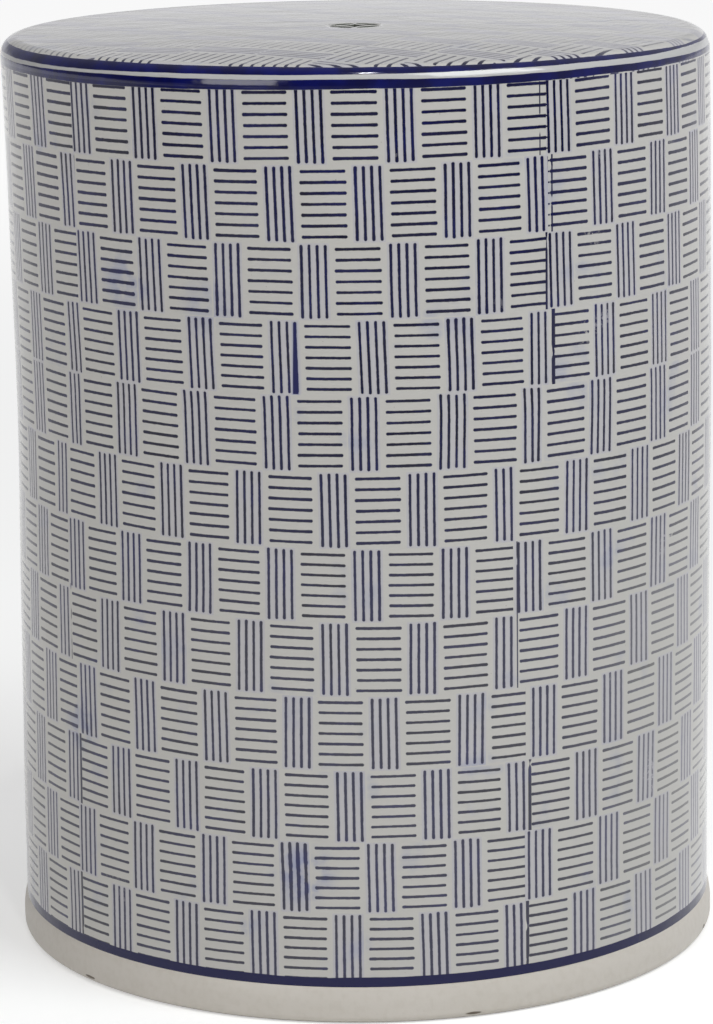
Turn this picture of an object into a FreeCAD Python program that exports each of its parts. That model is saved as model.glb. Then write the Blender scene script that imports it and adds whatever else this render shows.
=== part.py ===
import FreeCAD, Part
import math
import os

V = FreeCAD.Vector

# Garden stool of glazed stoneware, standing on the XY plane with its axis on Z.
# Sizes are in millimetres.

# The barrel is two moulded halves. Each half widens a little away from the waist,
# where they meet, because it has to draw out of its mould.
barrel_waist_radius = 174.5
upper_draft = 0.5
lower_draft = 1.2
barrel_wall = 10.0
waist_height = 268.0

# The seat is one slab with a rounded edge and a slight crown that sheds water.
seat_edge_height = 455.0
seat_crown = 2.0
seat_thickness = 14.0
seat_edge_rounding = 9.0
seat_rebate_depth = 4.0

# The foot is a plain ring, a little proud of the barrel and rounded at its shoulder.
foot_height = 18.2
foot_proud = 1.7
foot_ring_width = 17.0
foot_outer_rounding = 4.0
foot_inner_bevel = 3.0
foot_upright = 5.0

# The two halves of the barrel overlap in a step at the waist.
waist_step_height = 4.0
waist_step_width = 4.7

# Slip fills the space between pieces that fit one inside the other.
slip_gap = 0.3

# Coils of clay are pressed into the inner corners and over the waist seam.
seat_coil_leg = 9.0
foot_coil_height = 5.0
waist_coil_width = 26.0
waist_coil_flat = 14.0
waist_coil_thickness = 5.0

# The coin pierced through the middle of the seat has four petals round a curved square.
coin_radius = 12.2
coin_strip_width = 1.8
coin_edge_bevel = 0.5

# Places that follow from the sizes above.
barrel_top_radius = barrel_waist_radius + upper_draft
barrel_foot_radius = barrel_waist_radius + lower_draft
seat_underside_height = seat_edge_height - seat_thickness
barrel_top_height = seat_underside_height + seat_rebate_depth
foot_outer_radius = barrel_foot_radius + foot_proud
foot_inner_radius = foot_outer_radius - foot_ring_width


def point(radius, height):
    """A point of a half section, which lies in the XZ plane."""
    return V(radius, 0, height)


def line(start, end):
    return Part.LineSegment(start, end).toShape()


def arc(start, middle, end):
    return Part.Arc(start, middle, end).toShape()


def turned(edges):
    """The solid that a closed half section sweeps round the axis."""
    face = Part.Face(Part.Wire(edges))
    return face.revolve(V(0, 0, 0), V(0, 0, 1), 360)


def turned_lines(points):
    """A turned piece whose half section has only straight sides."""
    return turned([line(points[i - 1], points[i]) for i in range(len(points))])


def round_arc(centre, radius, start_angle, end_angle):
    """Three points of a rounded corner, from angles in degrees above the outward direction."""
    spots = []
    for angle in (start_angle, (start_angle + end_angle) / 2, end_angle):
        turn = math.radians(angle)
        spots.append(centre + V(radius * math.cos(turn), 0, radius * math.sin(turn)))
    return spots


def lower_inside(height):
    """Inner radius of the lower half at a height."""
    share_down = (waist_height - height) / (waist_height - foot_height)
    return barrel_waist_radius + share_down * lower_draft - barrel_wall


def upper_inside(height):
    """Inner radius of the upper half at a height."""
    share_up = (height - waist_height) / (barrel_top_height - waist_height)
    return barrel_waist_radius + share_up * upper_draft - barrel_wall


def disc(radius, x, y):
    """An upright round cutter that passes right through the seat."""
    bottom = seat_underside_height - seat_thickness
    return Part.makeCylinder(radius, 3 * seat_thickness, V(x, y, bottom), V(0, 0, 1))


def coin_cutters():
    """The five openings of the coin: petals on the diagonals, a curved square between."""
    half_strip = coin_strip_width / 2
    whole = disc(coin_radius, 0, 0)
    square = whole
    petals = []
    for x in (-coin_radius, coin_radius):
        for y in (-coin_radius, coin_radius):
            petals.append(whole.common(disc(coin_radius - half_strip, x, y)))
            square = square.cut(disc(coin_radius + half_strip, x, y))
    return petals + [square]


def seat_blank():
    """The slab before the coin is cut: rim, crown, and the rebate that fits the barrel."""
    edge_centre = point(barrel_top_radius - seat_edge_rounding, seat_edge_height - seat_edge_rounding)
    crown_drop = (edge_centre.x ** 2 - seat_crown ** 2) / (2 * seat_crown)
    crown_radius = crown_drop + seat_edge_rounding + seat_crown
    crown_centre_height = edge_centre.z - crown_drop
    rim = round_arc(edge_centre, seat_edge_rounding, 0, math.degrees(math.atan2(crown_drop, edge_centre.x)))
    half_way = rim[2].x / 2
    crown_middle = point(half_way, crown_centre_height + math.sqrt(crown_radius ** 2 - half_way ** 2))
    crown_top = point(0, seat_edge_height + seat_crown)
    underside_middle = point(0, seat_underside_height)
    plug_radius = upper_inside(barrel_top_height) - slip_gap
    plug_corner = point(plug_radius, seat_underside_height)
    ledge_inner = point(plug_radius, barrel_top_height)
    ledge_outer = point(barrel_top_radius, barrel_top_height)
    return turned([
        line(ledge_outer, rim[0]),
        arc(*rim),
        arc(rim[2], crown_middle, crown_top),
        line(crown_top, underside_middle),
        line(underside_middle, plug_corner),
        line(plug_corner, ledge_inner),
        line(ledge_inner, ledge_outer),
    ])


def soften_coin(slab):
    """Bevels the top edges of the coin, where the glaze runs over them."""
    middle_height = seat_underside_height + seat_thickness / 2
    edges = []
    for edge in slab.Edges:
        ends = [vertex.Point for vertex in edge.Vertexes]
        by_the_coin = all(math.hypot(end.x, end.y) < coin_radius + coin_strip_width for end in ends)
        if by_the_coin and all(end.z > middle_height for end in ends):
            edges.append(edge)
    return slab.makeChamfer(coin_edge_bevel, edges)


def seat_slab():
    slab = seat_blank()
    for cutter in coin_cutters():
        slab = slab.cut(cutter)
    return soften_coin(slab)


def upper_barrel():
    """The upper half, with a rebate on the inside of its lower edge."""
    rebate_radius = upper_inside(waist_height) + waist_step_width + slip_gap
    rebate_top = waist_height + waist_step_height + slip_gap
    return turned_lines([
        point(rebate_radius, waist_height),
        point(barrel_waist_radius, waist_height),
        point(barrel_top_radius, barrel_top_height),
        point(upper_inside(barrel_top_height), barrel_top_height),
        point(upper_inside(rebate_top), rebate_top),
        point(rebate_radius, rebate_top),
    ])


def lower_barrel():
    """The lower half, with a tongue standing up inside its upper edge."""
    tongue_inner = lower_inside(waist_height)
    tongue_outer = tongue_inner + waist_step_width
    tongue_top = waist_height + waist_step_height
    return turned_lines([
        point(lower_inside(foot_height), foot_height),
        point(barrel_foot_radius, foot_height),
        point(barrel_waist_radius, waist_height),
        point(tongue_outer, waist_height),
        point(tongue_outer, tongue_top),
        point(tongue_inner, tongue_top),
        point(tongue_inner, waist_height),
    ])


def foot_ring():
    """The ring that the stool stands on, flat beneath and rounded where it shows."""
    outer_centre = point(foot_outer_radius - foot_outer_rounding, foot_outer_rounding)
    outer_corner = round_arc(outer_centre, foot_outer_rounding, -90, 0)
    shoulder_height = foot_outer_rounding + foot_upright
    rise = foot_height - shoulder_height
    shoulder_radius = (rise ** 2 + foot_proud ** 2) / (2 * foot_proud)
    shoulder_angle = math.degrees(math.asin(rise / shoulder_radius))
    shoulder_centre = point(foot_outer_radius - shoulder_radius, shoulder_height)
    shoulder = round_arc(shoulder_centre, shoulder_radius, 0, shoulder_angle)
    inner_top = point(foot_inner_radius, foot_height)
    inner_low = point(foot_inner_radius, foot_inner_bevel)
    rest_inner = point(foot_inner_radius + foot_inner_bevel, 0)
    return turned([
        line(rest_inner, outer_corner[0]),
        arc(*outer_corner),
        line(outer_corner[2], shoulder[0]),
        arc(*shoulder),
        line(shoulder[2], inner_top),
        line(inner_top, inner_low),
        line(inner_low, rest_inner),
    ])


def seat_coil():
    """The coil in the corner between the seat and the barrel."""
    low = seat_underside_height - seat_coil_leg
    wall_top = upper_inside(seat_underside_height) - slip_gap
    return turned_lines([
        point(wall_top, seat_underside_height),
        point(wall_top - seat_coil_leg, seat_underside_height),
        point(upper_inside(low) - slip_gap, low),
    ])


def foot_coil():
    """The coil in the corner between the foot ring and the barrel."""
    high = foot_height + foot_coil_height
    return turned_lines([
        point(lower_inside(foot_height) - slip_gap, foot_height),
        point(lower_inside(high) - slip_gap, high),
        point(foot_inner_radius, foot_height),
    ])


def waist_coil():
    """The flattened coil pressed over the waist seam, its back along both halves."""
    low = waist_height - waist_coil_width / 2
    high = waist_height + waist_coil_width / 2
    tongue = lower_inside(waist_height) - slip_gap
    inner = tongue - waist_coil_thickness
    return turned_lines([
        point(lower_inside(low) - slip_gap, low),
        point(tongue, waist_height),
        point(tongue, waist_height + waist_step_height),
        point(upper_inside(high) - slip_gap, high),
        point(inner, waist_height + waist_coil_flat / 2),
        point(inner, waist_height - waist_coil_flat / 2),
    ])


pieces = {
    "seat_slab": seat_slab(),
    "upper_barrel": upper_barrel(),
    "lower_barrel": lower_barrel(),
    "foot_ring": foot_ring(),
    "seat_coil": seat_coil(),
    "waist_coil": waist_coil(),
    "foot_coil": foot_coil(),
}

os.makedirs("parts", exist_ok=True)
for name, shape in pieces.items():
    if not shape.isValid() or len(shape.Solids) != 1:
        raise ValueError(name + " is not one sound solid")
    shape.exportStep("parts/" + name + ".step")
    top = shape.optimalBoundingBox().ZMax
    print(name, "volume", round(shape.Volume / 1000), "cm3, top", round(top, 2), "mm")
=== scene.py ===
import bpy
import bmesh
import math
from mathutils import Matrix, Vector


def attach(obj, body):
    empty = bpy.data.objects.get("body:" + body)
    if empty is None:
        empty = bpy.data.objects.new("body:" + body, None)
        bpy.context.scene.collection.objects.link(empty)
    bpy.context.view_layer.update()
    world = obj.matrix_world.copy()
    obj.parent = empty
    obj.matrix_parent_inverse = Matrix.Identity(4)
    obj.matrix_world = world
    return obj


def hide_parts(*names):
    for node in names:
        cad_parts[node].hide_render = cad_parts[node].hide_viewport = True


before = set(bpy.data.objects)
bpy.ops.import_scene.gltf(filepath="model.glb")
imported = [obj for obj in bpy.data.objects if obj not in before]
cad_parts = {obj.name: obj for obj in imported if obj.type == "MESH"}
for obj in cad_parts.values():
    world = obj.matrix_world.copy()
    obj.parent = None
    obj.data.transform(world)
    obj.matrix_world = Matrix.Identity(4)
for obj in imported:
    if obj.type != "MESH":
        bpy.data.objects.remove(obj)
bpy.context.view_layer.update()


# The foot ring is the plain pale ring that the stool stands on, a little proud of the wall.
# It is bare stoneware, wiped smooth before firing, with a rounded shoulder and a flat underside.
# It is turned on the wheel and luted to the lower edge of the barrel with slip.

foot_inner = 0.1604
foot_outer = 0.1773
foot_height = 0.0182
foot_meets_wall = 0.1756
foot_shoulder_low = 0.0138
foot_outer_rounding = 0.0040
foot_shoulder_rounding = 0.0046
foot_inner_bevel = 0.0030
steps_round = 256


def start_section(name, inner, outer, low, high):
    """Stands a flat plate on the XZ plane, the cut section of a round piece, and opens it for editing."""
    bpy.ops.object.select_all(action="DESELECT")
    middle = ((inner + outer) / 2, 0, (low + high) / 2)
    bpy.ops.mesh.primitive_plane_add(size=1, location=middle, rotation=(math.pi / 2, 0, 0))
    piece = bpy.context.object
    piece.name = name
    piece.data.name = name
    piece.scale = (outer - inner, high - low, 1)
    bpy.ops.object.transform_apply(location=True, rotation=True, scale=True)
    bpy.ops.object.mode_set(mode="EDIT")
    return piece


def pick(kind, test):
    """Selects the corners, edges or faces all of whose corners pass the test."""
    bpy.ops.mesh.select_mode(type=kind)
    bpy.ops.mesh.select_all(action="DESELECT")
    mesh = bmesh.from_edit_mesh(bpy.context.object.data)
    if kind == "VERT":
        for corner in mesh.verts:
            corner.select = bool(test(corner.co))
    else:
        for part in mesh.edges if kind == "EDGE" else mesh.faces:
            part.select = all(test(corner.co) for corner in part.verts)
    mesh.select_flush_mode()
    bmesh.update_edit_mesh(bpy.context.object.data)


def near(value, goal, reach=0.00005):
    return abs(value - goal) < reach


def spin_section():
    """Makes one outline of the section and spins it round the axis into a closed skin."""
    bpy.ops.mesh.select_mode(type="FACE")
    bpy.ops.mesh.select_all(action="SELECT")
    bpy.ops.mesh.dissolve_faces()
    bpy.ops.mesh.select_all(action="SELECT")
    bpy.ops.mesh.delete(type="ONLY_FACE")
    bpy.ops.mesh.select_mode(type="VERT")
    bpy.ops.mesh.select_all(action="SELECT")
    bpy.ops.mesh.spin(steps=steps_round, angle=2 * math.pi, center=(0, 0, 0), axis=(0, 0, 1))
    bpy.ops.mesh.select_all(action="SELECT")
    bpy.ops.mesh.remove_doubles(threshold=0.00001)
    bpy.ops.mesh.normals_make_consistent(inside=False)


def hand_wobble(piece):
    """Lets the wall wander by a fraction of a millimetre, as clay does that was worked by hand."""
    for direction, basis in (("X", "ORIGINAL_PERLIN"), ("Y", "IMPROVED_PERLIN")):
        texture = bpy.data.textures.get("wobble_" + direction)
        if texture is None:
            texture = bpy.data.textures.new("wobble_" + direction, "CLOUDS")
            texture.noise_basis = basis
            texture.noise_scale = 0.11
            texture.noise_depth = 1
        wobble = piece.modifiers.new("wobble_" + direction, "DISPLACE")
        wobble.texture = texture
        wobble.texture_coords = "LOCAL"
        wobble.direction = direction
        wobble.mid_level = 0.5
        wobble.strength = 0.0006
        bpy.ops.object.modifier_apply(modifier=wobble.name)


def settle(slides, inner_radius):
    """Slides each ring of the outer skin sideways a little, as a cast wall seldom stands quite straight."""
    mesh = bmesh.from_edit_mesh(bpy.context.object.data)
    corners = [corner.co for corner in mesh.verts]
    outer_corners = [corner for corner in corners if math.hypot(corner.x, corner.y) > inner_radius]
    for ring_height in sorted({round(corner.z, 5) for corner in outer_corners}):
        for (low, low_slide), (high, high_slide) in zip(slides, slides[1:]):
            if low <= ring_height <= high:
                slide = low_slide + (high_slide - low_slide) * (ring_height - low) / (high - low)
        pick("VERT", lambda p: near(p.z, ring_height) and math.hypot(p.x, p.y) > inner_radius)
        bpy.ops.transform.translate(value=(slide, 0, 0))


def close_piece(piece, smooth_angle=35):
    """Leaves edit mode and smooths the shading."""
    bpy.ops.object.mode_set(mode="OBJECT")
    bpy.ops.object.shade_smooth_by_angle(angle=math.radians(smooth_angle))


def new_material(name):
    """An empty node material with its shader and output."""
    material = bpy.data.materials.new(name)
    material.use_nodes = True
    tree = material.node_tree
    tree.nodes.clear()
    output = tree.nodes.new("ShaderNodeOutputMaterial")
    shader = tree.nodes.new("ShaderNodeBsdfPrincipled")
    tree.links.new(shader.outputs["BSDF"], output.inputs["Surface"])
    return material, tree, shader


def feed(tree, socket, value):
    """Puts a number, a colour or another node's result into a socket."""
    if isinstance(value, bpy.types.NodeSocket):
        tree.links.new(value, socket)
    else:
        socket.default_value = value


def calc(tree, operation, *values):
    """One step of arithmetic."""
    node = tree.nodes.new("ShaderNodeMath")
    node.operation = operation
    for place, value in enumerate(values):
        feed(tree, node.inputs[place], value)
    return node.outputs[0]


def fade(tree, value, low, high, low_result=0.0, high_result=1.0):
    """A soft step from one value to another."""
    node = tree.nodes.new("ShaderNodeMapRange")
    node.interpolation_type = "SMOOTHSTEP"
    feed(tree, node.inputs["Value"], value)
    node.inputs["From Min"].default_value = low
    node.inputs["From Max"].default_value = high
    node.inputs["To Min"].default_value = low_result
    node.inputs["To Max"].default_value = high_result
    return node.outputs["Result"]


def choose(tree, share, first, second):
    """A number that goes from the first to the second as the share goes from 0 to 1."""
    node = tree.nodes.new("ShaderNodeMix")
    node.data_type = "FLOAT"
    feed(tree, node.inputs[0], share)
    feed(tree, node.inputs[2], first)
    feed(tree, node.inputs[3], second)
    return node.outputs[0]


def tint(tree, share, first, second):
    """A colour that goes from the first to the second as the share goes from 0 to 1."""
    node = tree.nodes.new("ShaderNodeMix")
    node.data_type = "RGBA"
    feed(tree, node.inputs[0], share)
    feed(tree, node.inputs[6], first)
    feed(tree, node.inputs[7], second)
    return node.outputs[2]


def paint(red, green, blue):
    """A colour written as it looks, from 0 to 255, for a shader."""
    colour = []
    for level in (red / 255, green / 255, blue / 255):
        colour.append((level / 12.92) if level < 0.04045 else ((level + 0.055) / 1.055) ** 2.4)
    return tuple(colour) + (1.0,)


def place_in_mm(tree):
    """The point on the object, in millimetres."""
    source = tree.nodes.new("ShaderNodeTexCoord")
    node = tree.nodes.new("ShaderNodeVectorMath")
    node.operation = "SCALE"
    tree.links.new(source.outputs["Object"], node.inputs[0])
    node.inputs["Scale"].default_value = 1000.0
    return node.outputs["Vector"]


def mottle(tree, place, size, detail=2.0, stretch=(1.0, 1.0, 1.0)):
    """Soft noise from 0 to 1 whose patches are about as wide as the size, in millimetres."""
    scaled = tree.nodes.new("ShaderNodeVectorMath")
    scaled.operation = "MULTIPLY"
    tree.links.new(place, scaled.inputs[0])
    scaled.inputs[1].default_value = tuple(part / size for part in stretch)
    noise = tree.nodes.new("ShaderNodeTexNoise")
    noise.inputs["Scale"].default_value = 1.0
    noise.inputs["Detail"].default_value = detail
    tree.links.new(scaled.outputs["Vector"], noise.inputs["Vector"])
    return noise.outputs["Fac"]


def relief(tree, shader, height, depth):
    """Raises and sinks the surface by the height, at most by the depth in metres."""
    bump = tree.nodes.new("ShaderNodeBump")
    bump.inputs["Distance"].default_value = depth
    bump.inputs["Strength"].default_value = 1.0
    tree.links.new(height, bump.inputs["Height"])
    tree.links.new(bump.outputs["Normal"], shader.inputs["Normal"])


def round_turn(tree, place):
    """The three coordinates and the angle in degrees from the front, growing to the right."""
    parts = tree.nodes.new("ShaderNodeSeparateXYZ")
    tree.links.new(place, parts.inputs[0])
    across = parts.outputs["X"]
    deep = parts.outputs["Y"]
    towards_front = calc(tree, "MULTIPLY", deep, -1.0)
    turn = calc(tree, "ARCTAN2", across, towards_front)
    return across, deep, parts.outputs["Z"], calc(tree, "DEGREES", turn)


foot = start_section("foot_ring_clay", foot_inner, foot_outer, 0, foot_height)
pick("EDGE", lambda p: near(p.x, foot_outer))
bpy.ops.mesh.subdivide(number_cuts=1)
pick("VERT", lambda p: near(p.x, foot_outer) and near(p.z, foot_height / 2))
bpy.ops.transform.translate(value=(0, 0, foot_shoulder_low - foot_height / 2))
pick("VERT", lambda p: near(p.x, foot_outer) and near(p.z, foot_height))
bpy.ops.transform.translate(value=(foot_meets_wall - foot_outer, 0, 0))
pick("VERT", lambda p: near(p.x, foot_outer) and near(p.z, 0))
bpy.ops.mesh.bevel(offset=foot_outer_rounding, segments=8, affect="VERTICES")
pick("VERT", lambda p: near(p.x, foot_outer) and near(p.z, foot_shoulder_low))
bpy.ops.mesh.bevel(offset=foot_shoulder_rounding, segments=6, affect="VERTICES")
pick("VERT", lambda p: near(p.x, foot_inner) and near(p.z, 0))
bpy.ops.mesh.bevel(offset=foot_inner_bevel, segments=1, affect="VERTICES")
spin_section()
close_piece(foot)

foot_clay, tree, shader = new_material("wiped_foot_clay")
place = place_in_mm(tree)
across, deep, height, turn = round_turn(tree, place)
large = mottle(tree, place, 45)
small = mottle(tree, place, 3.5, 4)
grain = mottle(tree, place, 0.8, 2)
wheel_lines = mottle(tree, place, 9.0, 3, (0.12, 0.12, 6.0))
clay = tint(tree, large, paint(210, 204, 194), paint(218, 212, 204))
clay = tint(tree, fade(tree, small, 0.40, 0.75, 0.0, 0.18), clay, paint(190, 182, 168))
# The lowest millimetre or two of the foot is darkened: painted shade under its rounded lower edge, where it
# meets the floor.
bottom_shade_height = calc(tree, "ADD", height, calc(tree, "MULTIPLY", small, 1.2))
clay = tint(tree, fade(tree, bottom_shade_height, 1.9, 0.9, 0.0, 0.75), clay, paint(112, 102, 90))
foot_mm_per_degree = 3.096
# Small chips in the foot's lower edge: the relief dents them, and their dark colour is painted shade inside
# each dent.
foot_chips = [
    (16.4, 2.6, 5.0, 0.9), (-50.5, 3.0, 4.4, 0.9), (74.0, 4.0, 3.0, 1.2), (168.0, 2.4, 4.0, 0.9),
]
chip_dents_and_shade = None
for chip_turn, chip_height, chip_width, chip_tall in foot_chips:
    sideways = calc(tree, "SUBTRACT", turn, chip_turn)
    sideways = calc(tree, "MULTIPLY", sideways, foot_mm_per_degree / chip_width)
    upwards = calc(tree, "MULTIPLY", calc(tree, "SUBTRACT", height, chip_height), 1 / chip_tall)
    far = calc(tree, "ADD", calc(tree, "POWER", sideways, 2.0), calc(tree, "POWER", upwards, 2.0))
    far = calc(tree, "ADD", far, calc(tree, "MULTIPLY", small, 1.1))
    spot = fade(tree, far, 1.5, 1.0)
    chip_dents_and_shade = spot if chip_dents_and_shade is None else calc(tree, "MAXIMUM", chip_dents_and_shade, spot)
clay = tint(tree, chip_dents_and_shade, clay, paint(104, 92, 78))
feed(tree, shader.inputs["Base Color"], clay)
feed(tree, shader.inputs["Roughness"], choose(tree, small, 0.38, 0.52))
surface = calc(tree, "ADD", calc(tree, "MULTIPLY", grain, 0.35), calc(tree, "MULTIPLY", wheel_lines, 0.2))
surface = calc(tree, "SUBTRACT", surface, chip_dents_and_shade)
relief(tree, shader, surface, 0.00012)
foot.data.materials.append(foot_clay)
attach(foot, "root")
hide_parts("foot_ring")


# The foot coil is the thin roll of clay worked into the inner corner over the foot ring.
# It is the same stoneware, left bare inside, pressed in with a thumb and smoothed.

inner_clay, tree, shader = new_material("bare_inner_clay")
place = place_in_mm(tree)
large = mottle(tree, place, 60)
small = mottle(tree, place, 4.0, 5)
grain = mottle(tree, place, 0.9, 2)
clay = tint(tree, large, paint(186, 176, 160), paint(204, 196, 182))
clay = tint(tree, fade(tree, small, 0.4, 0.75, 0.0, 0.4), clay, paint(158, 146, 128))
feed(tree, shader.inputs["Base Color"], clay)
feed(tree, shader.inputs["Roughness"], choose(tree, small, 0.68, 0.86))
relief(tree, shader, calc(tree, "ADD", grain, small), 0.00025)


def dress_coil(node):
    """Gives a coil that stays as it is the bare clay of the inside."""
    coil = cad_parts[node]
    coil.data.materials.clear()
    coil.data.materials.append(inner_clay)


dress_coil("foot_coil")


# The lower barrel is the lower half of the wall, slip cast in a mould that it draws out of.
# It is stoneware under a clear glaze, with printed sheets of blue basket weave beneath the glaze.
# A tongue stands up inside its top edge and locates the upper half.

wall = 0.0100
waist_radius = 0.1745
lower_draft = 0.0012
waist_height = 0.2680
step_height = 0.0040
step_width = 0.0047

lower = start_section("lower_barrel_glazed", waist_radius - wall, waist_radius, foot_height, waist_height)
pick("VERT", lambda p: near(p.z, foot_height))
bpy.ops.transform.translate(value=(lower_draft, 0, 0))
pick("EDGE", lambda p: p.x > waist_radius - 0.001)
bpy.ops.mesh.subdivide(number_cuts=15)
pick("EDGE", lambda p: near(p.z, waist_height))
bpy.ops.mesh.subdivide(number_cuts=1)
pick("VERT", lambda p: near(p.z, waist_height) and near(p.x, waist_radius - wall / 2))
bpy.ops.transform.translate(value=(step_width - wall / 2, 0, 0))
pick("EDGE", lambda p: near(p.z, waist_height) and p.x < waist_radius - wall + step_width + 0.0001)
bpy.ops.mesh.extrude_region_move(TRANSFORM_OT_translate={"value": (0, 0, step_height)})
spin_section()
# Each pair is a height and a slide in metres. They follow the outline, which was measured on the photograph
# with a program.
wall_slides = [
    (0.0, 0.0), (0.03, 0.0), (0.076, -0.0002), (0.118, 0.0002), (0.159, 0.0005),
    (0.2, 0.0008), (0.245, 0.0012), (0.275, 0.0012), (0.304, 0.0010), (0.346, 0.0005),
    (0.387, 0.0), (0.418, -0.0006), (0.445, -0.0013), (0.46, -0.0014),
]
settle(wall_slides, waist_radius - 0.001)
close_piece(lower)
hand_wobble(lower)

# One printed sheet is six blocks wide and the weave has twelve rows. Each row gives its lower edge in
# millimetres, the share of a block that it is shifted, the turn in degrees at which the sheet starts, and
# how strongly the overlap of two sheets is inked and how many millimetres past the start. The edges, shares
# and turns were fitted by a program to the photographed print, and the edges and turns were then corrected.
# The ink and its place were set one by one.
weave_rows = [
    (19.4, 0.964, -51.7, 0.9, 1.2), (54.7, 0.348, -51.7, 0.2, 0.0), (89.7, 0.001, -51.4, 0.9, 1.8),
    (124.8, 0.407, -51.5, 0.2, 0.0), (160.7, 0.852, -53.5, 0.5, 2.0), (196.4, 0.229, -53.5, 0.5, 2.0),
    (231.5, 0.861, -53.5, 0.1, 0.0), (267.7, 0.216, -49.8, 0.1, 0.0), (303.9, 0.131, -49.7, 1.0, 3.0),
    (339.0, 0.483, -49.9, 0.7, 0.0), (374.7, 0.103, -49.6, 0.6, 2.2), (410.5, 0.457, -49.9, 0.5, -3.3),
]
weave_top = 446.4
sheets_meet = 303.9
block_turn = 13.457
block_width = 41.1
sheet_turn = 79.4
lower_sheet_pull = 2.57
row_tall = 35.4
upright_zone = 8.0
upright_spacing = 3.73
level_spacing = 4.95
upright_half_length = 16.1
level_half_length = 9.6
line_half_width = 0.69
wall_mm_per_degree = 3.05


def table(tree, value, entries, kind):
    """Looks a value from 0 to 1 up in a list of places and colours."""
    node = tree.nodes.new("ShaderNodeValToRGB")
    ramp = node.color_ramp
    ramp.interpolation = kind
    while len(ramp.elements) > 1:
        ramp.elements.remove(ramp.elements[-1])
    ramp.elements[0].position = entries[0][0]
    ramp.elements[0].color = entries[0][1]
    for position, colour in entries[1:]:
        ramp.elements.new(position).color = colour
    feed(tree, node.inputs["Fac"], value)
    return node.outputs["Color"]


def chance(tree, *values):
    """Three random numbers from 0 to 1 that belong to a set of whole numbers."""
    joined = tree.nodes.new("ShaderNodeCombineXYZ")
    for place, value in enumerate(values):
        feed(tree, joined.inputs[place], value)
    noise = tree.nodes.new("ShaderNodeTexWhiteNoise")
    noise.noise_dimensions = "3D"
    tree.links.new(joined.outputs[0], noise.inputs["Vector"])
    parts = tree.nodes.new("ShaderNodeSeparateColor")
    tree.links.new(noise.outputs["Color"], parts.inputs[0])
    return parts.outputs[0], parts.outputs[1], parts.outputs[2]


def weave(tree, place, blocks, rows, sheet, flood, slant):
    """The printed lines: how far a point is from the nearest, and whether its block stands upright."""
    block = calc(tree, "ROUND", blocks)
    beside = calc(tree, "MULTIPLY", calc(tree, "SUBTRACT", blocks, block), block_width)
    upright = calc(tree, "LESS_THAN", calc(tree, "ABSOLUTE", beside), upright_zone)
    level = calc(tree, "SUBTRACT", 1.0, upright)
    next_block = calc(tree, "MULTIPLY", calc(tree, "MULTIPLY", level, calc(tree, "SIGN", beside)), 0.5)
    block = calc(tree, "ADD", block, next_block)
    beside = calc(tree, "SUBTRACT", beside, calc(tree, "MULTIPLY", next_block, block_width))
    row = calc(tree, "FLOOR", rows)
    above = calc(tree, "SUBTRACT", calc(tree, "SUBTRACT", rows, row), 0.5)
    above = calc(tree, "MULTIPLY", above, row_tall)
    beside = calc(tree, "ADD", beside, calc(tree, "MULTIPLY", above, slant))
    lean, shade = chance(tree, block, row, sheet)[:2]
    across_lines = choose(tree, upright, above, beside)
    along_lines = choose(tree, upright, beside, above)
    leaning = calc(tree, "MULTIPLY", calc(tree, "SUBTRACT", lean, 0.5), 0.03)
    across_lines = calc(tree, "ADD", across_lines, calc(tree, "MULTIPLY", leaning, along_lines))
    wander = calc(tree, "SUBTRACT", mottle(tree, place, 24.0, 1), 0.5)
    across_lines = calc(tree, "ADD", across_lines, calc(tree, "MULTIPLY", wander, 0.4))
    spacing = choose(tree, upright, level_spacing, upright_spacing)
    counted = calc(tree, "DIVIDE", across_lines, spacing)
    half_count = choose(tree, upright, 3.5, 2.0)
    inside = calc(tree, "LESS_THAN", calc(tree, "ABSOLUTE", counted), half_count)
    counted = calc(tree, "ADD", counted, calc(tree, "MULTIPLY", level, 0.5))
    number = calc(tree, "FLOOR", counted)
    off_line = calc(tree, "SUBTRACT", calc(tree, "SUBTRACT", counted, number), 0.5)
    off_line = calc(tree, "MULTIPLY", off_line, spacing)
    line_key = calc(tree, "ADD", calc(tree, "MULTIPLY", number, 0.37), block)
    long_or_short, thick, strong = chance(tree, line_key, row, sheet)
    half_length = choose(tree, upright, level_half_length, upright_half_length)
    half_length = calc(tree, "ADD", half_length, calc(tree, "MULTIPLY", long_or_short, 0.5))
    past_end = calc(tree, "SUBTRACT", calc(tree, "ABSOLUTE", along_lines), half_length)
    past_end = calc(tree, "MAXIMUM", past_end, 0.0)
    distance = calc(tree, "ADD", calc(tree, "POWER", off_line, 2.0), calc(tree, "POWER", past_end, 2.0))
    distance = calc(tree, "SQRT", distance)
    press = calc(tree, "MULTIPLY", mottle(tree, place, 2.2, 2), 0.34)
    coordinates = tree.nodes.new("ShaderNodeSeparateXYZ")
    tree.links.new(place, coordinates.inputs[0])
    low_lines = line_half_width - 0.23
    high_lines = line_half_width - 0.17
    half_width = fade(tree, coordinates.outputs["Z"], 340.0, 400.0, low_lines, high_lines)
    half_width = calc(tree, "ADD", press, half_width)
    half_width = calc(tree, "ADD", half_width, calc(tree, "MULTIPLY", thick, 0.10))
    half_width = calc(tree, "ADD", half_width, calc(tree, "MULTIPLY", flood, 0.45))
    near_end = calc(tree, "SUBTRACT", half_length, calc(tree, "ABSOLUTE", along_lines))
    half_width = calc(tree, "ADD", half_width, fade(tree, near_end, 4.0, 0.0, 0.0, 0.06))
    distance = calc(tree, "SUBTRACT", distance, half_width)
    distance = calc(tree, "ADD", distance, calc(tree, "MULTIPLY", calc(tree, "SUBTRACT", 1.0, inside), 9.0))
    return distance, upright, shade, strong


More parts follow.
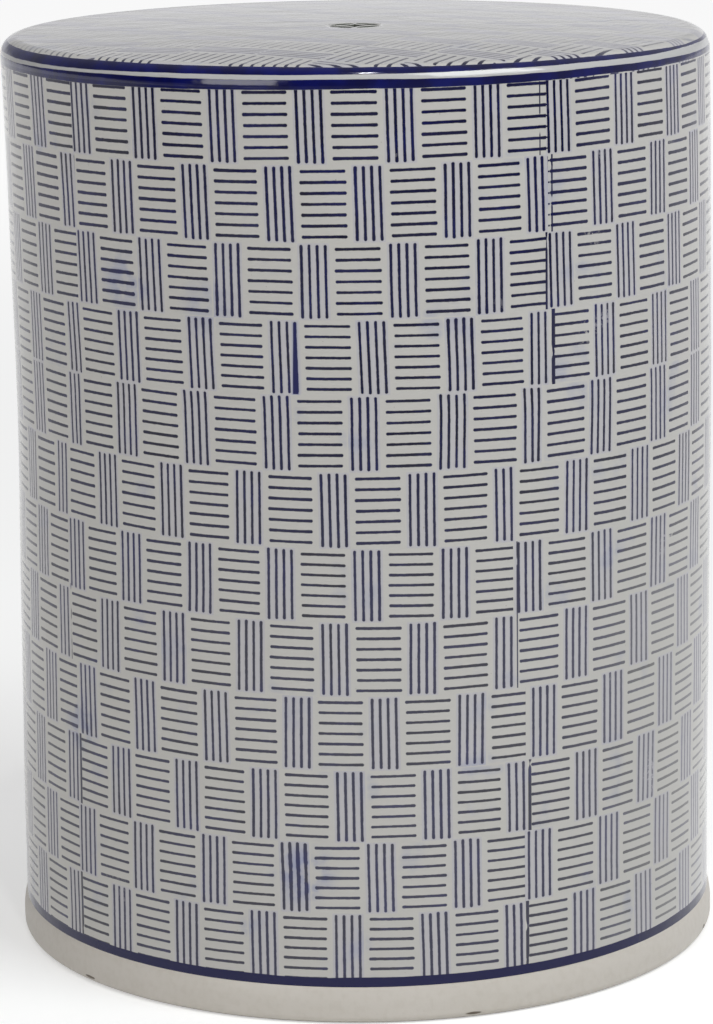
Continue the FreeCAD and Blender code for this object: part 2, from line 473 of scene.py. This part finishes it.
glaze_ivory = paint(204, 202, 197)
glaze_lilac = paint(190, 188, 197)
ink_navy = paint(4, 4, 40)
ink_blue = paint(12, 18, 86)
wash_blue = paint(140, 148, 186)
band_cobalt = paint(3, 12, 92)
band_navy = paint(2, 4, 62)
foot_band_navy = paint(1, 3, 68)
stripe_white = paint(193, 193, 192)


def glazed(tree, shader, place, colour, bends_light=1.40):
    """Finishes a glazed surface: specks, gloss and the faint waves of a thick clear glaze."""
    specks = mottle(tree, place, 1.3, 1)
    speck = fade(tree, specks, 0.80, 0.84, 0.0, 0.55)
    colour = tint(tree, speck, colour, paint(118, 104, 84))
    feed(tree, shader.inputs["Base Color"], colour)
    gloss = mottle(tree, place, 30.0, 2)
    feed(tree, shader.inputs["Roughness"], choose(tree, gloss, 0.07, 0.15))
    waves = mottle(tree, place, 16.0, 2)
    pits = mottle(tree, place, 2.0, 2)
    surface = calc(tree, "ADD", waves, calc(tree, "MULTIPLY", pits, 0.06))
    relief(tree, shader, surface, 0.00030)
    shader.inputs["IOR"].default_value = bends_light


def between(tree, value, low, high):
    """How far a value lies between two others, with a soft step at each."""
    above_low = fade(tree, calc(tree, "SUBTRACT", value, low), -0.13, 0.13)
    below_high = fade(tree, calc(tree, "SUBTRACT", high, value), -0.13, 0.13)
    return calc(tree, "MULTIPLY", above_low, below_high)


# The two bands of the rim are brushed on freehand. Each entry gives a turn in degrees from the front, and
# where the lower band starts and ends and the upper one does, in millimetres up and over the rounded rim.
# From -67 to 65 degrees they were measured on the photograph with a program, and the rest is a guess.
rim_bands = [
    (-180, -1.6, 2.3, 4.4, 8.6), (-110, -2.3, 1.8, 3.4, 7.6), (-67, -2.5, 1.2, 3.0, 7.5),
    (-54, -2.5, 1.7, 3.1, 7.9), (-41, -2.5, 2.3, 3.7, 8.8), (-29, -2.1, 2.4, 4.5, 9.4),
    (-12, -1.5, 2.9, 5.1, 10.2), (0, -1.2, 3.2, 5.5, 10.0), (18, -1.3, 2.7, 6.0, 9.8),
    (40, -0.5, 3.5, 6.7, 10.1), (53, -0.5, 3.2, 6.4, 9.3), (65, -0.3, 2.8, 7.1, 8.6),
    (110, -0.9, 2.6, 6.0, 9.0), (180, -1.6, 2.3, 4.4, 8.6),
]
rim_start = 446.0
rim_rounding = 9.0
rim_top_radius = 166.0


def rim_colour(tree, place, colour):
    """Paints the white stripe and the two blue bands of the rim over a colour."""
    across, deep, height, turn = round_turn(tree, place)
    outward = calc(tree, "ADD", calc(tree, "POWER", across, 2.0), calc(tree, "POWER", deep, 2.0))
    outward = calc(tree, "SQRT", outward)
    out_of_middle = calc(tree, "MAXIMUM", calc(tree, "SUBTRACT", outward, rim_top_radius), 0.001)
    bent = calc(tree, "ARCTAN2", calc(tree, "SUBTRACT", height, rim_start), out_of_middle)
    flat = calc(tree, "MAXIMUM", calc(tree, "SUBTRACT", rim_top_radius, outward), 0.0)
    over_rim = calc(tree, "ADD", calc(tree, "MULTIPLY", bent, rim_rounding), flat)
    unsteady = calc(tree, "SUBTRACT", mottle(tree, place, 14.0, 3), 0.5)
    over_rim = calc(tree, "ADD", over_rim, calc(tree, "MULTIPLY", unsteady, 0.7))
    round_share = calc(tree, "DIVIDE", calc(tree, "ADD", turn, 180.0), 360.0)
    edges = []
    for first in (1, 3):
        entries = []
        for entry in rim_bands:
            band_start = (entry[first] + 5) / 20
            band_end = (entry[first + 1] + 5) / 20
            entries.append(((entry[0] + 180) / 360, (band_start, band_end, 0.0, 1.0)))
        looked_up = tree.nodes.new("ShaderNodeSeparateColor")
        tree.links.new(table(tree, round_share, entries, "LINEAR"), looked_up.inputs[0])
        for part in range(2):
            edges.append(calc(tree, "SUBTRACT", calc(tree, "MULTIPLY", looked_up.outputs[part], 20.0), 5.0))
    colour = tint(tree, between(tree, over_rim, edges[0], edges[3]), colour, stripe_white)
    lower_band = between(tree, over_rim, edges[0], edges[1])
    upper_band = between(tree, over_rim, edges[2], edges[3])
    band_colour = tint(tree, fade(tree, mottle(tree, place, 12.0, 3), 0.3, 0.7), band_navy, band_cobalt)
    return tint(tree, calc(tree, "MAXIMUM", lower_band, upper_band), colour, band_colour)


def printed_colour(tree, place, distance, upright, shade, strong, flood, faint):
    """The colour of the printed ground: ivory glaze, soft washes and lines of ink."""
    cloud = mottle(tree, place, 55.0, 3)
    ground = tint(tree, cloud, glaze_ivory, paint(200, 198, 194))
    by_line = fade(tree, distance, 2.2, 0.2)
    lilac_share = calc(tree, "MULTIPLY", calc(tree, "MULTIPLY", upright, by_line), 0.75)
    ground = tint(tree, lilac_share, ground, glaze_lilac)
    patches = mottle(tree, place, 26.0, 3)
    wash = fade(tree, patches, 0.60, 0.78, 0.0, 0.40)
    wash = calc(tree, "MAXIMUM", wash, calc(tree, "MULTIPLY", flood, 0.75))
    wash = calc(tree, "MULTIPLY", wash, fade(tree, distance, 3.4, 0.3))
    ground = tint(tree, wash, ground, wash_blue)
    ink = fade(tree, distance, 0.19, -0.19)
    worn = mottle(tree, place, 1.6, 3)
    wear_here = fade(tree, mottle(tree, place, 38.0, 2), 0.70, 0.80)
    gaps = calc(tree, "MULTIPLY", fade(tree, worn, 0.52, 0.40), wear_here)
    strength = calc(tree, "ADD", 0.985, calc(tree, "MULTIPLY", strong, 0.015))
    strength = calc(tree, "SUBTRACT", strength, faint)
    whole = calc(tree, "SUBTRACT", 1.0, calc(tree, "MULTIPLY", gaps, 0.75))
    strength = calc(tree, "MULTIPLY", strength, whole)
    blueness = calc(tree, "MAXIMUM", fade(tree, mottle(tree, place, 18.0, 3), 0.40, 0.75, 0.0, 0.8), flood)
    blueness = calc(tree, "MAXIMUM", blueness, calc(tree, "MULTIPLY", shade, 0.45))
    ink_colour = tint(tree, blueness, ink_navy, ink_blue)
    return tint(tree, calc(tree, "MULTIPLY", ink, strength), ground, ink_colour)


barrel_glaze, tree, shader = new_material("weave_glaze_on_barrel")
place = place_in_mm(tree)
across, deep, height, turn = round_turn(tree, place)
tilt = fade(tree, height, 240.0, 400.0, -0.0080, 0.0075)
tilt = calc(tree, "ADD", tilt, fade(tree, height, 190.0, 60.0, 0.0, 0.0050))
true_height = height
height = calc(tree, "SUBTRACT", height, calc(tree, "MULTIPLY", across, tilt))
row_entries = []
for number, row_values in enumerate(weave_rows):
    row_entries.append((row_values[0] / 450, (number / 12,) * 3 + (1.0,)))
row_entries.append((weave_top / 450, (1.0, 1.0, 1.0, 1.0)))
rows = table(tree, calc(tree, "DIVIDE", height, 450.0), row_entries, "LINEAR")
rows = calc(tree, "MULTIPLY", rows, 12.0)
row = calc(tree, "FLOOR", rows)
offset_entries = []
shift_entries = []
for number, (low, offset, seam_turn, seam_ink, seam_shift) in enumerate(weave_rows):
    offset_entries.append((number / 12, (offset, (seam_turn + 60) / 20, seam_ink, 1.0)))
    shift_entries.append((number / 12, ((seam_shift + 5) / 10,) * 3 + (1.0,)))
row_share = calc(tree, "DIVIDE", calc(tree, "ADD", row, 0.5), 12.0)
row_values = table(tree, row_share, offset_entries, "CONSTANT")
seam_shift = calc(tree, "MULTIPLY", table(tree, row_share, shift_entries, "CONSTANT"), 10.0)
seam_shift = calc(tree, "SUBTRACT", seam_shift, 5.0)
row_parts = tree.nodes.new("ShaderNodeSeparateColor")
tree.links.new(row_values, row_parts.inputs[0])
row_offset = row_parts.outputs[0]
seam_start = calc(tree, "SUBTRACT", calc(tree, "MULTIPLY", row_parts.outputs[1], 20.0), 60.0)
seam_ink = row_parts.outputs[2]
on_lower = calc(tree, "LESS_THAN", height, sheets_meet)
pull = calc(tree, "MULTIPLY", calc(tree, "COSINE", calc(tree, "RADIANS", turn)), lower_sheet_pull)
turn = calc(tree, "ADD", turn, calc(tree, "MULTIPLY", on_lower, pull))
first_seam = calc(tree, "SUBTRACT", seam_start, 2 * sheet_turn)
from_seam = calc(tree, "FLOORED_MODULO", calc(tree, "SUBTRACT", turn, first_seam), 360.0)
sheet = calc(tree, "FLOOR", calc(tree, "DIVIDE", from_seam, sheet_turn))
from_seam = calc(tree, "SUBTRACT", from_seam, calc(tree, "MULTIPLY", sheet, sheet_turn))
blocks = calc(tree, "DIVIDE", calc(tree, "ADD", from_seam, seam_start), block_turn)
blocks = calc(tree, "SUBTRACT", blocks, row_offset)
flood = None
ink_floods = [(-39.0, 352.0, 13.0, 0.7), (-24.0, 344.0, 12.0, 0.45), (-9.8, 74.0, 13.0, 0.9),
              (-52.0, 130.0, 12.0, 0.6), (16.0, 338.0, 11.0, 0.35),
              (150.0, 210.0, 14.0, 0.6), (-140.0, 300.0, 12.0, 0.6)]
for flood_turn, flood_height, flood_size, flood_strength in ink_floods:
    radians = math.radians(flood_turn)
    spot = tree.nodes.new("ShaderNodeVectorMath")
    spot.operation = "DISTANCE"
    tree.links.new(place, spot.inputs[0])
    spot.inputs[1].default_value = (175 * math.sin(radians), -175 * math.cos(radians), flood_height)
    here = fade(tree, spot.outputs["Value"], flood_size * 1.5, flood_size * 0.4, 0.0, flood_strength)
    flood = here if flood is None else calc(tree, "MAXIMUM", flood, here)
flood = calc(tree, "MULTIPLY", flood, fade(tree, mottle(tree, place, 9.0, 3), 0.32, 0.60))
slant = fade(tree, height, 290.0, 310.0, 0.0, 0.02)
distance, upright, shade, strong = weave(tree, place, blocks, rows, sheet, flood, slant)
beside_heavy = calc(tree, "ABSOLUTE", calc(tree, "ADD", turn, 10.0))
beside_heavy = calc(tree, "MULTIPLY", beside_heavy, wall_mm_per_degree)
beside_heavy = calc(tree, "SUBTRACT", beside_heavy, fade(tree, true_height, 338.0, 304.0, 0.75, 1.3))
past_heavy = calc(tree, "ABSOLUTE", calc(tree, "SUBTRACT", true_height, 321.0))
past_heavy = calc(tree, "SUBTRACT", past_heavy, 16.6)
heavy_line = calc(tree, "MAXIMUM", beside_heavy, past_heavy)
distance = calc(tree, "MINIMUM", distance, heavy_line)
flood = calc(tree, "MAXIMUM", flood, fade(tree, heavy_line, 1.0, -0.3, 0.0, 0.9))
past_start = calc(tree, "MULTIPLY", from_seam, wall_mm_per_degree)
before_end = calc(tree, "MULTIPLY", calc(tree, "SUBTRACT", from_seam, sheet_turn), wall_mm_per_degree)
tick_place = calc(tree, "MULTIPLY", calc(tree, "SUBTRACT", calc(tree, "SUBTRACT", rows, row), 0.5), row_tall)
tick_count = calc(tree, "DIVIDE", tick_place, level_spacing)
tick_off = calc(tree, "ABSOLUTE", calc(tree, "SUBTRACT", tick_count, calc(tree, "ROUND", tick_count)))
tick_off = calc(tree, "SUBTRACT", calc(tree, "MULTIPLY", tick_off, level_spacing), 0.4)
tick_side = calc(tree, "SUBTRACT", calc(tree, "ABSOLUTE", past_start), 1.0)
ticks = calc(tree, "MAXIMUM", tick_off, tick_side)
ticks = calc(tree, "ADD", ticks, fade(tree, height, 376.0, 374.0, 0.0, 9.0))
hidden_seam = calc(tree, "MULTIPLY", fade(tree, turn, 1.0, -1.0), fade(tree, height, 198.0, 202.0, 0.0, 9.0))
ticks = calc(tree, "ADD", ticks, hidden_seam)
distance = calc(tree, "MINIMUM", distance, ticks)
after_seam = calc(tree, "ABSOLUTE", calc(tree, "SUBTRACT", past_start, seam_shift))
before_seam = calc(tree, "ABSOLUTE", calc(tree, "SUBTRACT", before_end, seam_shift))
seam_distance = calc(tree, "MINIMUM", after_seam, before_seam)
seam_press = fade(tree, mottle(tree, place, 12.0, 2), 0.30, 0.46, 0.2, 1.0)
seam_width = calc(tree, "MULTIPLY", calc(tree, "MULTIPLY", seam_press, seam_ink), 1.35)
seam_width = calc(tree, "SUBTRACT", seam_width, 0.35)
seam_distance = calc(tree, "SUBTRACT", seam_distance, seam_width)
seam_distance = calc(tree, "ADD", seam_distance, hidden_seam)
distance = calc(tree, "MINIMUM", distance, seam_distance)
faint = calc(tree, "MULTIPLY", fade(tree, turn, 28.0, 62.0, 0.0, 0.28), fade(tree, height, 260.0, 180.0))
faint = calc(tree, "ADD", faint, fade(tree, height, 300.0, 150.0, 0.0, 0.08))
colour = printed_colour(tree, place, distance, upright, shade, strong, flood, faint)
edge = calc(tree, "SUBTRACT", mottle(tree, place, 20.0, 3), 0.5)
bottom_band = between(tree, calc(tree, "ADD", true_height, edge), 16.0, 22.9)
colour = tint(tree, bottom_band, colour, foot_band_navy)
colour = rim_colour(tree, place, colour)
glazed(tree, shader, place, colour)


def two_skins(piece, glaze, is_glazed):
    """Glaze where the test says so, and bare clay on every other face."""
    piece.data.materials.append(glaze)
    piece.data.materials.append(inner_clay)
    for face in piece.data.polygons:
        face.material_index = 0 if is_glazed(face.center, face.normal) else 1


def on_outer_wall(centre, normal):
    return math.hypot(centre.x, centre.y) > waist_radius - 0.003 and abs(normal.z) < 0.5


two_skins(lower, barrel_glaze, on_outer_wall)
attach(lower, "root")
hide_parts("lower_barrel")


# The upper barrel is the upper half of the wall, cast like the lower one and set over its tongue.
# Slip holds the two together, and the glaze runs over the joint, so the waist shows only as a slight turn.

upper_draft = 0.0005
barrel_top = 0.4450
slip_gap = 0.0003

rebate_top = waist_height + step_height + slip_gap
upper = start_section("upper_barrel_glazed", waist_radius - wall, waist_radius, rebate_top, barrel_top)
pick("VERT", lambda p: near(p.z, barrel_top))
bpy.ops.transform.translate(value=(upper_draft, 0, 0))
pick("EDGE", lambda p: p.x > waist_radius - 0.001)
bpy.ops.mesh.subdivide(number_cuts=11)
pick("EDGE", lambda p: near(p.z, rebate_top))
bpy.ops.mesh.subdivide(number_cuts=1)
pick("VERT", lambda p: near(p.z, rebate_top) and near(p.x, waist_radius - wall / 2))
bpy.ops.transform.translate(value=(step_width + slip_gap - wall / 2, 0, 0))
pick("EDGE", lambda p: near(p.z, rebate_top) and p.x > waist_radius - wall + step_width)
bpy.ops.mesh.extrude_region_move(TRANSFORM_OT_translate={"value": (0, 0, waist_height - rebate_top)})
spin_section()
settle(wall_slides, waist_radius - 0.001)
close_piece(upper)
hand_wobble(upper)
two_skins(upper, barrel_glaze, on_outer_wall)
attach(upper, "root")
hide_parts("upper_barrel")


# The waist coil is a strip of clay pressed flat over the joint inside, and it keeps its plain form.
# The seat coil fills the corner under the seat, which is luted on last.

dress_coil("waist_coil")
dress_coil("seat_coil")


# The seat slab is the round top with a softly rounded rim and a slight crown that sheds water.
# It is glazed over the same print as the barrel, here a flat sheet laid on askew, inside two blue bands.
# A coin of four petals round a curved square is pierced through the middle while the clay is soft.

seat_edge = 0.4550
seat_crown = 0.0020
seat_underside = 0.4410
seat_radius = 0.1750
seat_rounding = 0.0090
plug_radius = 0.1647
coin_radius = 0.0122
coin_strip = 0.0018
coin_softness = 0.0005
coin_field = 0.0160

seat = start_section("seat_slab_glazed", coin_field, plug_radius, seat_underside, barrel_top)
pick("EDGE", lambda p: near(p.z, barrel_top))
bpy.ops.mesh.extrude_region_move(TRANSFORM_OT_translate={"value": (0, 0, seat_edge - barrel_top)})
pick("EDGE", lambda p: near(p.x, plug_radius) and p.z > barrel_top - 0.0001)
bpy.ops.mesh.extrude_region_move(TRANSFORM_OT_translate={"value": (seat_radius - plug_radius, 0, 0)})
pick("EDGE", lambda p: near(p.z, seat_edge) and p.x < plug_radius + 0.0001)
bpy.ops.mesh.subdivide(number_cuts=11)
pick("VERT", lambda p: near(p.x, seat_radius) and near(p.z, seat_edge))
bpy.ops.mesh.bevel(offset=seat_rounding, segments=12, affect="VERTICES")
crown_reach = seat_radius - seat_rounding
for ring in range(12):
    ring_radius = coin_field + (plug_radius - coin_field) * ring / 12
    rise = seat_crown * (1 - (ring_radius / crown_reach) ** 2)
    pick("VERT", lambda p: near(p.x, ring_radius) and near(p.z, seat_edge))
    bpy.ops.transform.translate(value=(0, 0, rise))
bpy.ops.mesh.select_mode(type="FACE")
bpy.ops.mesh.select_all(action="SELECT")
bpy.ops.mesh.dissolve_faces()
bpy.ops.mesh.select_all(action="SELECT")
bpy.ops.mesh.delete(type="ONLY_FACE")
pick("EDGE", lambda p: near(p.x, coin_field))
bpy.ops.mesh.delete(type="EDGE")
bpy.ops.mesh.select_mode(type="VERT")
bpy.ops.mesh.select_all(action="SELECT")
bpy.ops.mesh.spin(steps=steps_round, angle=2 * math.pi, center=(0, 0, 0), axis=(0, 0, 1))
bpy.ops.mesh.select_all(action="SELECT")
bpy.ops.mesh.remove_doubles(threshold=0.00001)
for at_height in (seat_underside, seat_edge + seat_crown):
    pick("EDGE", lambda p: near(math.hypot(p.x, p.y), coin_field) and near(p.z, at_height, 0.0003))
    bpy.ops.mesh.edge_face_add()
bpy.ops.mesh.select_all(action="SELECT")
bpy.ops.mesh.normals_make_consistent(inside=False)
bpy.ops.object.mode_set(mode="OBJECT")


def round_cutter(radius, centre_x, centre_y):
    """An upright round cutter longer than the slab is thick."""
    bpy.ops.object.select_all(action="DESELECT")
    centre = (centre_x, centre_y, seat_edge)
    bpy.ops.mesh.primitive_cylinder_add(vertices=96, radius=radius, depth=0.06, location=centre)
    bpy.ops.object.transform_apply(location=True, rotation=True, scale=True)
    return bpy.context.object


def cut_with(piece, cutter, operation):
    """Cuts a piece with another one, or keeps what they share, and takes the cutter away."""
    bpy.ops.object.select_all(action="DESELECT")
    piece.select_set(True)
    bpy.context.view_layer.objects.active = piece
    cut = piece.modifiers.new("cut", "BOOLEAN")
    cut.operation = operation
    cut.solver = "EXACT"
    cut.object = cutter
    bpy.ops.object.modifier_apply(modifier=cut.name)
    bpy.data.objects.remove(cutter)


square = round_cutter(coin_radius, 0, 0)
petals = []
for corner_x in (-coin_radius, coin_radius):
    for corner_y in (-coin_radius, coin_radius):
        petal = round_cutter(coin_radius, 0, 0)
        cut_with(petal, round_cutter(coin_radius - coin_strip / 2, corner_x, corner_y), "INTERSECT")
        petals.append(petal)
        cut_with(square, round_cutter(coin_radius + coin_strip / 2, corner_x, corner_y), "DIFFERENCE")
for cutter in petals + [square]:
    cut_with(seat, cutter, "DIFFERENCE")
bpy.ops.object.mode_set(mode="EDIT")
coin_top = seat_edge + seat_crown * (1 - (coin_field / crown_reach) ** 2)
pick("EDGE", lambda p: math.hypot(p.x, p.y) < coin_radius + 0.0005 and near(p.z, coin_top, 0.0001))
bpy.ops.mesh.bevel(offset=coin_softness, segments=2, affect="EDGES")
seat_slide = 0.0014
rim_foot_slide = 0.0013
pick("VERT", lambda p: p.z > barrel_top + 0.0005 or math.hypot(p.x, p.y) < coin_field - 0.001)
bpy.ops.transform.translate(value=(-seat_slide, 0, 0))
pick("VERT", lambda p: near(p.z, barrel_top) and math.hypot(p.x, p.y) > seat_radius - 0.001)
bpy.ops.transform.translate(value=(-rim_foot_slide, 0, 0))
close_piece(seat)
hand_wobble(seat)

# Rows of the sheet on the seat, from the front right to the back left, by the share of a block shifted.
# The shares come from a program's search over the front strip, the only part where the print shows clearly.
# The sheet is stretched a little where it was smoothed down towards the front of the rim.
seat_rows = [0.60, 0.05, 0.50, 0.10, 0.50, 0.50, 0.30, 0.65, 0.90, 0.20, 0.70, 0.30]
sheet_askew = 59.0
seat_row_start = -193.0
seat_row_tall = 36.3
seat_block_width = 42.1
sheet_stretch = 0.0012

seat_glaze, tree, shader = new_material("weave_glaze_on_seat")
place = place_in_mm(tree)
across, deep, height, turn = round_turn(tree, place)
outward = calc(tree, "ADD", calc(tree, "POWER", across, 2.0), calc(tree, "POWER", deep, 2.0))
stretch = calc(tree, "MULTIPLY", outward, fade(tree, deep, 80.0, -40.0, 0.0, sheet_stretch))
laid_deep = calc(tree, "ADD", deep, stretch)
askew = math.radians(sheet_askew)
along_rows = calc(tree, "MULTIPLY", across, math.cos(askew))
along_rows = calc(tree, "ADD", along_rows, calc(tree, "MULTIPLY", laid_deep, math.sin(askew)))
over_rows = calc(tree, "MULTIPLY", laid_deep, math.cos(askew))
over_rows = calc(tree, "SUBTRACT", over_rows, calc(tree, "MULTIPLY", across, math.sin(askew)))
rows = calc(tree, "DIVIDE", calc(tree, "SUBTRACT", over_rows, seat_row_start), seat_row_tall)
row = calc(tree, "FLOOR", rows)
offset_entries = [(number / 12, (offset, offset, offset, 1.0)) for number, offset in enumerate(seat_rows)]
row_offset = table(tree, calc(tree, "DIVIDE", calc(tree, "ADD", row, 0.5), 12.0), offset_entries, "CONSTANT")
blocks = calc(tree, "DIVIDE", along_rows, seat_block_width)
blocks = calc(tree, "SUBTRACT", blocks, row_offset)
flood = fade(tree, mottle(tree, place, 40.0, 2), 0.68, 0.80, 0.0, 0.6)
distance, upright, shade, strong = weave(tree, place, blocks, rows, 7.0, flood, 0.0)
from_coin = calc(tree, "SQRT", outward)
distance = calc(tree, "MAXIMUM", distance, calc(tree, "SUBTRACT", coin_field * 1000, from_coin))
# The print is painted fainter away from the front. Part of that fading may be glare on the real glaze.
faint = fade(tree, deep, -145.0, -45.0, 0.0, 0.78)
colour = printed_colour(tree, place, distance, upright, shade, strong, flood, faint)
colour = rim_colour(tree, place, colour)
glazed(tree, shader, place, colour, 1.52)


def on_seat_skin(centre, normal):
    return centre.z > barrel_top + 0.0002


def on_coin_wall(centre, normal):
    from_middle = math.hypot(centre.x + seat_slide, centre.y)
    return from_middle < coin_field - 0.001 and abs(normal.z) < 0.5


# The walls of the coin's openings are painted dark grey-green: painted shade for the shade down inside the
# openings.
coin_wall_shaded_glaze, tree, shader = new_material("painted_shade_in_coin")
place = place_in_mm(tree)
shade_patches = mottle(tree, place, 2.5, 3)
glazed(tree, shader, place, tint(tree, shade_patches, paint(84, 90, 84), paint(116, 118, 108)))

two_skins(seat, seat_glaze, on_seat_skin)
seat.data.materials.append(coin_wall_shaded_glaze)
for face in seat.data.polygons:
    if on_coin_wall(face.center, face.normal):
        face.material_index = 2
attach(seat, "root")
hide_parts("seat_slab")


# The floor is a plain pale surface, and soft lamps stand round the stool as in a small studio.
# The light is a little stronger from the right, as in the photograph. A program's fit to the brightness of
# the photographed wall helped to set the lamps and the light of the room, which were then changed.

bpy.ops.object.select_all(action="DESELECT")
bpy.ops.mesh.primitive_plane_add(size=1, location=(0, 0, 0))
floor = bpy.context.object
floor.name = "pale_floor"
floor.scale = (24, 24, 1)
bpy.ops.object.transform_apply(location=True, rotation=True, scale=True)
floor_paint, tree, shader = new_material("pale_floor")
feed(tree, shader.inputs["Base Color"], paint(226, 226, 224))
shader.inputs["Roughness"].default_value = 0.9
shader.inputs["Specular IOR Level"].default_value = 0.0
rays = tree.nodes.new("ShaderNodeLightPath")
seen = calc(tree, "MAXIMUM", rays.outputs["Is Camera Ray"], rays.outputs["Is Glossy Ray"])
seen = calc(tree, "MAXIMUM", seen, rays.outputs["Is Transmission Ray"])
lift = tree.nodes.new("ShaderNodeEmission")
# Only cameras, reflections and see-through rays meet this lift to white. It ends in front of the stool, where
# it would veil the glaze, so the floor there is grey in views from the sides and the back.
floor_place = tree.nodes.new("ShaderNodeTexCoord")
away = tree.nodes.new("ShaderNodeVectorMath")
away.operation = "LENGTH"
tree.links.new(floor_place.outputs["Object"], away.inputs[0])
glow = fade(tree, away.outputs["Value"], 0.5, 3.5, 0.44, 0.70)
floor_parts = tree.nodes.new("ShaderNodeSeparateXYZ")
tree.links.new(floor_place.outputs["Object"], floor_parts.inputs[0])
glow = calc(tree, "MULTIPLY", glow, fade(tree, floor_parts.outputs["Y"], -1.5, -0.5, 0.05, 1.0))
feed(tree, lift.inputs["Strength"], calc(tree, "MULTIPLY", seen, glow))
both = tree.nodes.new("ShaderNodeAddShader")
tree.links.new(shader.outputs["BSDF"], both.inputs[0])
tree.links.new(lift.outputs["Emission"], both.inputs[1])
output = next(node for node in tree.nodes if node.type == "OUTPUT_MATERIAL")
tree.links.new(both.outputs[0], output.inputs["Surface"])
floor.data.materials.append(floor_paint)

scene = bpy.context.scene
world = bpy.data.worlds.new("studio")
world.use_nodes = True
scene.world = world
tree = world.node_tree
tree.nodes.clear()
output = tree.nodes.new("ShaderNodeOutputWorld")
room = tree.nodes.new("ShaderNodeBackground")
room.inputs["Color"].default_value = paint(250, 250, 253)
source = tree.nodes.new("ShaderNodeTexCoord")
sky = tree.nodes.new("ShaderNodeSeparateXYZ")
tree.links.new(source.outputs["Generated"], sky.inputs[0])
behind = fade(tree, sky.outputs["Y"], -0.7, 0.6, 0.155, 0.41)
far_behind = fade(tree, sky.outputs["Y"], 0.65, 0.97, 0.0, 0.38)
low_behind = calc(tree, "MULTIPLY", far_behind, fade(tree, sky.outputs["Z"], 0.17, 0.04))
beside = fade(tree, sky.outputs["X"], -0.9, 0.9, -0.13, 0.13)
overhead = fade(tree, sky.outputs["Z"], 0.35, 0.95, 0.0, 0.02)
strength = calc(tree, "ADD", calc(tree, "ADD", behind, low_behind), calc(tree, "ADD", beside, overhead))
feed(tree, room.inputs["Strength"], strength)
tree.links.new(room.outputs[0], output.inputs["Surface"])


def soft_lamp(name, place, aim, wide, tall, power, colour):
    """A soft box that points at a spot."""
    light = bpy.data.lights.new(name, "AREA")
    light.shape = "RECTANGLE"
    light.size = wide
    light.size_y = tall
    light.energy = power
    light.color = colour
    lamp = bpy.data.objects.new(name, light)
    scene.collection.objects.link(lamp)
    lamp.location = place
    direction = Vector(aim) - Vector(place)
    lamp.rotation_euler = direction.to_track_quat("-Z", "Y").to_euler()


middle_of_stool = (0, 0, 0.25)
soft_lamp("key_from_right", (1.33, -1.14, 2.36), middle_of_stool, 1.45, 1.1, 37.5, (0.96, 0.985, 1.0))
soft_lamp("fill_from_left", (-1.64, -2.22, 1.05), middle_of_stool, 1.1, 1.35, 20.5, (1.0, 0.99, 0.98))
soft_lamp("small_lamp_over_front", (0.10, -0.92, 2.88), (0, 0, 0.45), 0.07, 0.18, 5.0, (1.0, 1.0, 1.0))

scene.view_settings.view_transform = "Standard"


# The camera stands where the stool was photographed from, about two metres away and a little above it.
# It looks down by twelve and a half degrees and leans very slightly. Its place and lens were fitted by a
# program to the rim, bands, foot and outline in the photograph.

camera_distance = 1.9313
camera_height = 0.6385
looking_down = 0.2181
turned = -0.0017
leaning = -0.0121
focal_length = 136.83

right = Vector((math.cos(turned), -math.sin(turned), 0))
forward = Vector((math.sin(turned), math.cos(turned), 0)) * math.cos(looking_down)
forward.z = -math.sin(looking_down)
up = right.cross(forward)
lean_right = right * math.cos(leaning) + up * math.sin(leaning)
lean_up = up * math.cos(leaning) - right * math.sin(leaning)
eye = bpy.data.cameras.new("photo_camera")
eye.lens = focal_length
eye.sensor_width = 36
eye.clip_start = 0.05
eye.clip_end = 60
camera = bpy.data.objects.new("photo_camera", eye)
scene.collection.objects.link(camera)
axes = Matrix((lean_right, lean_up, -forward)).transposed().to_4x4()
camera.matrix_world = Matrix.Translation((0, -camera_distance, camera_height)) @ axes
scene.camera = camera
